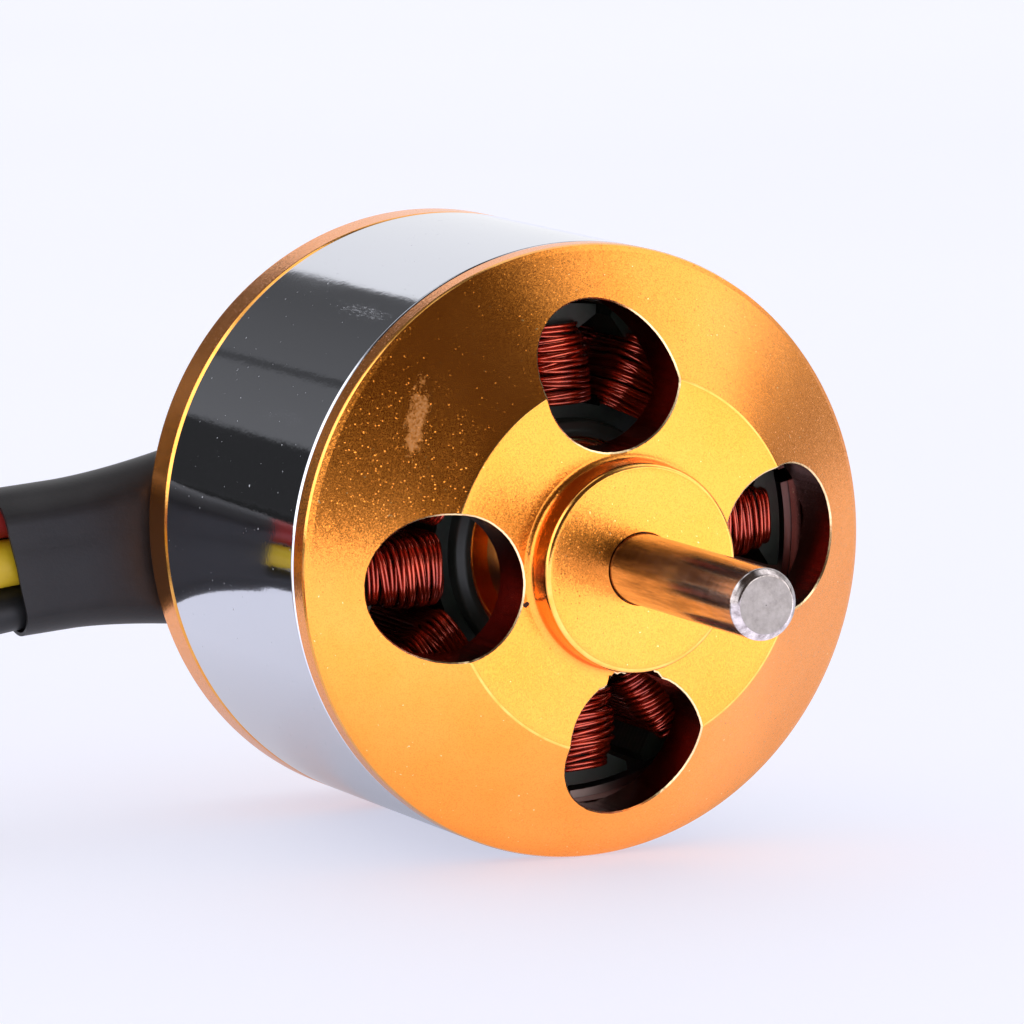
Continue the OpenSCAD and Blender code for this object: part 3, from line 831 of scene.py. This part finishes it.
def stations():
    """Once round a tooth: shares across and along, and which end of the stack (0 is beside it)."""
    per_side, per_end = 4, 18
    turns = [math.pi * j / per_end for j in range(per_end)]
    sides = [1 - 2 * j / per_side for j in range(per_side)]
    out = [(math.cos(a), math.sin(a), 1) for a in turns]
    out += [(-1.0, q, 0) for q in sides]
    out += [(math.cos(math.pi + a), math.sin(math.pi + a), -1) for a in turns]
    return out + [(1.0, -q, 0) for q in sides]


def blend(values, k, share):
    return values[k] * (1 - share) + values[k + 1] * share


def winding(rng):
    """One tooth's turns of wire, layer by layer, as paths. x is radial, y across, z along."""
    paths = []
    middle = (STACK_REAR + STACK_FRONT) / 2
    half_stack = (STACK_FRONT - STACK_REAR) / 2
    places = stations()
    for layer, (r_in, r_out, mess) in enumerate(LAYERS):
        turns = int((r_out - r_in) / WIRE_PITCH)
        jitter = [rng.gauss(0, 0.035 * mess) for _ in range(turns + 2)]
        lean = [rng.gauss(-0.05 if layer % 2 else 0.05, 0.07 * mess) for _ in range(turns + 2)]
        lift = [abs(rng.gauss(0, 0.045 * mess)) for _ in range(turns + 2)]
        path = []
        for k in range(turns):
            for j, (c, q, end) in enumerate(places):
                f = j / len(places)
                r = r_in + (k + f) * (r_out - r_in) / turns + blend(jitter, k, f)
                r = max(r + blend(lean, k, f) * c, r_in) if end else min(max(r, r_in), SHOE_R)
                wide = TOOTH_W / 2 + WIRE_D * (0.55 + 0.9 * layer)
                wide = min(wide, r * math.tan(HALF_SLOT) - WIRE_D / 2 - 0.015)
                if end:
                    rise = 0.62 + 0.21 * layer + blend(lift, k, f)
                    bow = 1.0 - 0.25 * ((r - 8.2) / 2.2) ** 2
                    y = wide * math.copysign(abs(c) ** CORNER, c)
                    z = end * (half_stack + END_GAP + rise * bow * abs(q) ** CORNER)
                else:
                    y, z = wide * c, half_stack * q
                path.append((r, y, middle + z))
        paths.append(np.array(path))
    return paths


def phase(name, first):
    """One phase: the windings of two neighbouring teeth and of the two opposite them."""
    rng = random.Random(first + 7)
    parts = []
    for tooth in (first, first + 1, first + 6, first + 7):
        angle = TOOTH_ANGLE + tooth * math.pi / 6
        parts += [sweep(turned(path, angle), WIRE_D / 2, 6) for path in winding(rng)]
    verts, faces = joined(parts)
    return make_object(name, place(verts), faces, sharp_deg=70)


def stack_dark_collar():
    """Dark collar on the front of the stack, round the bearing tube."""
    outline = [
        (TUBE_R + 0.05, STACK_FRONT), (TUBE_R + 0.05, STACK_FRONT + 0.75), (TUBE_R + 0.35, STACK_FRONT + 0.8),
        (TUBE_R + 0.75, STACK_FRONT + 0.55), (TUBE_R + 0.85, STACK_FRONT),
    ]
    verts, faces = lathe(rounded(outline, {1: 0.05, 2: 0.12, 3: 0.12}), 192)
    return make_object("stack_dark_collar", place(verts), faces, MATERIALS["dark_collar_grey"])


def tube_rim_highlight():
    """Thin bead round the bearing tube's rim, in the pale gold of a painted highlight."""
    top = along_range("base_mount")[1]
    outline = [
        (TUBE_R - 0.28, top + 0.005), (TUBE_R - 0.12, top + 0.05), (TUBE_R - 0.02, top - 0.04),
        (TUBE_R + 0.02, top - 0.16), (TUBE_R - 0.1, top - 0.16),
    ]
    verts, faces = lathe(outline, 192)
    return make_object("tube_rim_highlight", place(verts), faces, MATERIALS["gold_painted_highlight"], sharp_deg=60)


# ---------------------------------------------------------------- leads
LEAD_D = 2.2
# The routes of part.scad
ROUTES = {
    "lead_red": [
        (-.0079, -.00177, .00143), (-.011, -.00177, .00118), (-.014, -.00177, .00093),
        (-.017, -.00177, .00068), (-.02, -.0018, .00046), (-.023, -.002, .00025), (-.026, -.0025, -.0005),
        (-.029, -.00335, -.0019), (-.032, -.00425, -.004), (-.035, -.005, -.0065), (-.038, -.0057, -.0089),
        (-.041, -.0064, -.0109), (-.044, -.0069, -.0121), (-.047, -.0072, -.0126), (-.05, -.0073, -.0122),
        (-.0535, -.0073, -.0116), (-.056, -.0073, -.0116),
    ],
    "lead_yellow": [
        (-.0079, -.00218, -.00075), (-.011, -.00218, -.001), (-.014, -.00218, -.00125),
        (-.017, -.00218, -.0015), (-.02, -.00218, -.00175), (-.023, -.0022, -.0022),
        (-.026, -.0023, -.0031), (-.029, -.0024, -.0045), (-.032, -.0024, -.0063), (-.035, -.0024, -.0083),
        (-.038, -.0024, -.0102), (-.041, -.0024, -.0117), (-.044, -.0024, -.0125), (-.047, -.0024, -.0127),
        (-.05, -.0024, -.0122), (-.0535, -.0024, -.0116), (-.056, -.0024, -.0116),
    ],
    "lead_black": [
        (-.0079, -.00177, -.00293), (-.011, -.00177, -.00318), (-.014, -.00177, -.00343),
        (-.017, -.00177, -.00368), (-.02, -.00175, -.00396), (-.023, -.00155, -.0046),
        (-.026, -.00105, -.0058), (-.029, -.0003, -.0074), (-.032, .0006, -.0092), (-.035, .0014, -.0109),
        (-.038, .002, -.0121), (-.041, .0023, -.0126), (-.044, .0025, -.01275), (-.047, .0025, -.0127),
        (-.05, .0025, -.0122), (-.0535, .0025, -.0116), (-.056, .0025, -.0116),
    ],
}


def lead(name):
    """A lead along its route, and its length."""
    line = spline_through(ROUTES[name], 8)
    curve = bpy.data.curves.new(name + "_flex", "CURVE")
    curve.dimensions = "3D"
    curve.bevel_depth = LEAD_D / 2 * MM
    curve.bevel_resolution = 6
    curve.use_fill_caps = True
    spline = curve.splines.new("POLY")
    spline.points.add(len(line) - 1)
    for point, co in zip(spline.points, line):
        point.co = (*co, 1)
    spline.use_smooth = True
    return new_object(name + "_flex", curve), float(np.linalg.norm(np.diff(line, axis=0), axis=1).sum())


def shrink_sleeve():
    """The shrunk tube: a flat oval that narrows along the leads, cut off at a slant."""
    slope = math.radians(4.7)
    start, finish = 12.02, 20.3
    plane, aside = 1.97, 0.13
    half_width, flare, flare_length = 3.5, 0.6, 5.4
    half_thick, wall = 1.74, 0.16
    sides, outer_rows, inner_rows = 72, 46, 6
    shift = np.random.default_rng(3).uniform(0, 6.28, 2)
    rows = []
    for k in range(outer_rows):
        t = k / (outer_rows - 1)
        s = start + (finish - start) * t
        half = half_width + flare * max(0.0, 1 - (s - start) / flare_length) ** 1.6
        ring = []
        for j in range(sides):
            a = 2 * math.pi * j / sides
            c, q = math.cos(a), math.sin(a)
            tall = q * half_thick + math.copysign(half - half_thick, q) * min(1.0, abs(q) * 3.2)
            bumps = 0.012 * math.sin(1.3 * tall + 0.9 * s + shift[0]) + 0.01 * math.sin(1.9 * s + shift[1])
            scallop = 0.045 * t * math.cos(2 * math.pi * tall / LEAD_D) * abs(c)
            wide = c * half_thick + (bumps + scallop) * (1 if c > 0 else -1) * abs(c)
            slant = 0.5 * t**3 * (tall / half)
            ring.append((-(s + slant), tall, plane + wide))
        rows.append(np.array(ring))
    for row in reversed(rows[-inner_rows:]):
        inner = row.copy()
        inner[:, 1] *= 1 - wall / 3.4
        inner[:, 2] = plane + (row[:, 2] - plane) * (1 - wall / half_thick)
        rows.append(inner)
    faces = tube_faces(len(rows), sides) + [tuple(range(sides))]
    verts = turned(np.concatenate(rows), slope)
    verts[:, 1] -= aside
    return make_object("shrink_sleeve_soft", place(verts), faces, sharp_deg=50)


def build_rotor():
    stand_in(flux_ring(), "flux_ring", "rotor")
    stand_in(rear_ring(), "rear_ring", "rotor")
    stand_in(shaft(), "shaft", "rotor")
    stand_in(front_cap(), "front_cap", "rotor")


def build_stator():
    for name, first in (("phase_a_coils", 0), ("phase_b_coils", 2), ("phase_c_coils", 4)):
        stand_in(phase(name + "_wound", first), name, "stator")
    for piece in (stack_dark_collar(), tube_rim_highlight()):
        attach(piece, "stator")
    sleeve = stand_in(shrink_sleeve(), "shrink_sleeve", "stator")
    for colour in ("red", "yellow", "black"):
        flex, length = lead("lead_" + colour)
        stand_in(flex, "lead_" + colour, "stator")


# ---------------------------------------------------------------- stage
def card(name, centre, facing, width, height, bands):
    """A glossy-only card: seen in reflections, never by the camera. bands are (height share, brightness)."""
    centre, facing = Vector(centre), Vector(facing).normalized()
    right = facing.cross(Vector((0, 0, 1))).normalized()
    up = right.cross(facing).normalized()
    signs = ((-1, -1), (1, -1), (1, 1), (-1, 1))
    corners = [centre + right * (x * width / 2) + up * (y * height / 2) for x, y in signs]
    mesh = bpy.data.meshes.new(name)
    mesh.from_pydata([tuple(c) for c in corners], [], [(0, 1, 2, 3)])
    obj = new_object(name, mesh)
    mat = bpy.data.materials.new(name)
    mat.use_nodes = True
    n = Nodes(mat.node_tree)
    n.tree.nodes.clear()
    box_place = n.add("ShaderNodeTexCoord").outputs["Generated"]
    height_share = n.add("ShaderNodeSeparateXYZ", {0: box_place}).outputs["Z"]
    level = n.ramp(height_share, [(share, (brightness,)) for share, brightness in bands])
    emit = n.add("ShaderNodeEmission", {"Color": level, "Strength": 1.0})
    n.add("ShaderNodeOutputMaterial", {"Surface": emit.outputs[0]})
    mesh.materials.append(mat)
    obj.visible_camera = False
    obj.visible_diffuse = False
    obj.visible_shadow = False


DARK_ROOM, WARM_DARK, COOL_WHITE = 0.052, (1.25, 0.9, 0.7), (0.97, 0.975, 1.0)
# Azimuth from +Y towards +X (left, right, softness of each edge), elevation (low, high, softness), brightness
SOFT_BOXES = [
    (78, 94, 5, 6, -20, 40, 8, 0.35),
    (90, 130, 8, 45, 20, 76, 12, 2.45),
    (108, 130, 5, 6, -8, 22, 6, 2.2),
    (-122, -38, 4, 6, -10, 49, 6, 2.3),
    (-75, -8, 8, 8, 54, 80, 6, 1.3),
]
# Seen along the can, by roll about the shaft: white backdrop, then grey with a thin dark gap, then black
ROLL_WHITE, ROLL_GAP, ROLL_BLACK = 82, (124.8, 127.8), 154
BACKDROP_EDGE, BACKDROP_LOW, BACKDROP_HIGH = 78, -20, 62


def world_light():
    """Plain pale studio. Gloss sees a white backdrop at the right, soft boxes and a dark room at the left."""
    world = bpy.data.worlds.new("studio")
    bpy.context.scene.world = world
    world.use_nodes = True
    n = Nodes(world.node_tree)
    n.tree.nodes.clear()
    sky = n.add("ShaderNodeTexCoord").outputs["Generated"]
    way = n.add("ShaderNodeSeparateXYZ", {0: sky}).outputs
    azimuth = n.math("DEGREES", n.math("ARCTAN2", way[0], way[1]))
    elevation = n.math("DEGREES", n.math("ARCSINE", way[2]))
    roll = n.math("DEGREES", n.math("ARCTAN2", way[2], way[0]))

    def rises(value, edge, soft):
        return n.spread(value, 0.0, 1.0, edge - soft, edge + soft, "SMOOTHSTEP")

    def falls(value, edge, soft):
        return n.spread(value, 1.0, 0.0, edge - soft, edge + soft, "SMOOTHSTEP")

    def window(value, low, high, soft_low, soft_high):
        return n.math("MULTIPLY", rises(value, low, soft_low), falls(value, high, soft_high))

    def added(total, shares, level):
        for share in shares:
            level = n.math("MULTIPLY", level, share)
        return n.math("ADD", total, level)

    total = DARK_ROOM
    for left, right, soft_left, soft_right, low, high, soft, level in SOFT_BOXES:
        box = [window(azimuth, left, right, soft_left, soft_right), window(elevation, low, high, soft, soft)]
        total = added(total, box, level)

    behind = rises(way[1], 0.6, 0.1)
    backdrop = [window(roll, -90, ROLL_WHITE, 1, 0.8), falls(azimuth, BACKDROP_EDGE, 7)]
    backdrop.append(window(elevation, BACKDROP_LOW, BACKDROP_HIGH, 6, 6))
    total = added(total, backdrop, 0.98)
    grey = n.spread(roll, 0.05, 0.115, 95.0, 152.0)
    total = added(total, [window(roll, ROLL_WHITE, ROLL_BLACK, 0.8, 1.5), behind], grey)
    total = added(total, [window(roll, *ROLL_GAP, 0.7, 0.7), behind], -0.07)
    total = added(total, [rises(roll, ROLL_BLACK, 1.5), behind], -0.02)
    total = n.math("MAXIMUM", total, 0.004)
    warm = n.math("MULTIPLY", falls(way[1], 0.0, 0.1), falls(total, 0.1, 0.03))
    glossy = n.add("ShaderNodeBackground", {"Color": n.mix(warm, COOL_WHITE, WARM_DARK), "Strength": total})

    # Everything else is lit by a soft sky, brightest above and behind
    strength = n.spread(n.vector("DOT_PRODUCT", sky, (0.3, 0.45, 0.84)), 0.25, 1.25, -0.7, 0.9)
    plain = n.add("ShaderNodeBackground", {"Color": (0.94, 0.945, 1.0, 1), "Strength": strength})
    is_glossy = n.add("ShaderNodeLightPath").outputs["Is Glossy Ray"]
    mixed = n.add("ShaderNodeMixShader", {0: is_glossy, 1: plain.outputs[0], 2: glossy.outputs[0]})
    n.add("ShaderNodeOutputWorld", {"Surface": mixed.outputs[0]})


def floor():
    """Pale floor just under the can. Gloss sees it brighter in front of the can and dark far behind it."""
    side, gap = 4.0, 0.00002
    z = FLOOR_Z - gap
    corners = [(-side, -side, z), (side, -side, z), (side, side, z), (-side, side, z)]
    mesh = bpy.data.meshes.new("floor")
    mesh.from_pydata(corners, [], [(0, 1, 2, 3)])
    obj = new_object("floor", mesh)
    mat, n, shader, where = new_material("floor")
    tone = n.noise(where, 6, 3.0, 0.5)
    link(n, n.ramp(tone, [(0.3, (0.40, 0.402, 0.40)), (0.7, (0.42, 0.422, 0.415))]), shader, "Base Color")
    shader.inputs["Roughness"].default_value = 0.7
    shader.inputs["Specular IOR Level"].default_value = 0.1
    shader.inputs["Emission Color"].default_value = (0.99, 1.0, 1.2, 1)

    x, y, _ = n.add("ShaderNodeSeparateXYZ", {0: where}).outputs
    # Gloss sees painted light on the floor in front of the can and a painted shadow just beneath it.
    glow = n.math("ADD", n.spread(y, 0.0, 0.4, -0.0205, -0.0225), n.spread(y, 0.0, 0.55, -0.0235, -0.034))
    beneath = n.spread(n.math("ABSOLUTE", x), 0.0, -0.2, 0.018, 0.006)
    glow = n.math("ADD", glow, n.math("MULTIPLY", beneath, n.spread(y, 0.0, 1.0, -0.021, -0.018)))
    far_left = n.math("MULTIPLY", n.spread(x, 0.0, 1.0, -0.012, -0.024), n.spread(y, 0.0, 1.0, 0.055, 0.075))
    is_glossy = n.add("ShaderNodeLightPath").outputs["Is Glossy Ray"]
    link(n, n.math("ADD", n.math("MULTIPLY", glow, is_glossy), 0.51), shader, "Emission Strength")
    dark = n.add("ShaderNodeEmission", {"Color": (1, 1, 1, 1), "Strength": 0.02})
    dimmed = n.math("MULTIPLY", far_left, is_glossy)
    shown = n.add("ShaderNodeMixShader", {0: dimmed, 1: shader.outputs[0], 2: dark.outputs[0]})
    n.tree.links.new(shown.outputs[0], n.tree.nodes["Material Output"].inputs["Surface"])
    mesh.materials.append(mat)


def add_camera():
    """Long lens at the photograph's angle: above and to the left of the shaft's end."""
    turn, pitch = math.radians(26.09), math.radians(8.165)
    ahead = Vector((math.sin(turn) * math.cos(pitch), math.cos(turn) * math.cos(pitch), -math.sin(pitch)))
    right = Vector((math.cos(turn), -math.sin(turn), 0))
    down = ahead.cross(right)
    target = Vector((0, -BAND_FRONT * MM, 0))
    distance, aim_right, aim_down = 338.58 * MM, 0.0097, 0.0053
    at = target - distance * (ahead + aim_right * right + aim_down * down)
    data = bpy.data.cameras.new("camera")
    data.lens = 265.3
    data.sensor_width = 36
    data.clip_start = 0.01
    data.clip_end = 20
    data.dof.use_dof = False
    cam = new_object("camera", data)
    cam.matrix_world = Matrix.Translation(at) @ Matrix((right, -down, -ahead)).transposed().to_4x4()
    bpy.context.scene.camera = cam


def front_card():
    """Soft box close in front at the right, which the flat faces mirror. Only gloss sees it."""
    azimuth, distance, width = math.radians(147), 0.065, 0.076
    low, high = FLOOR_Z + 0.0005, 0.034
    ahead = Vector((math.sin(azimuth), math.cos(azimuth), 0))
    centre = ahead * distance + Vector((0, -0.025, (low + high) / 2))
    card("front_box", centre, -ahead, width, high - low, [(0.0, 2.85), (0.1, 2.75), (0.3, 2.1), (1.0, 1.9)])


build_rotor()
build_stator()
floor()
world_light()
front_card()
add_camera()
scene = bpy.context.scene
scene.view_settings.view_transform = "Standard"
scene.view_settings.look = "None"
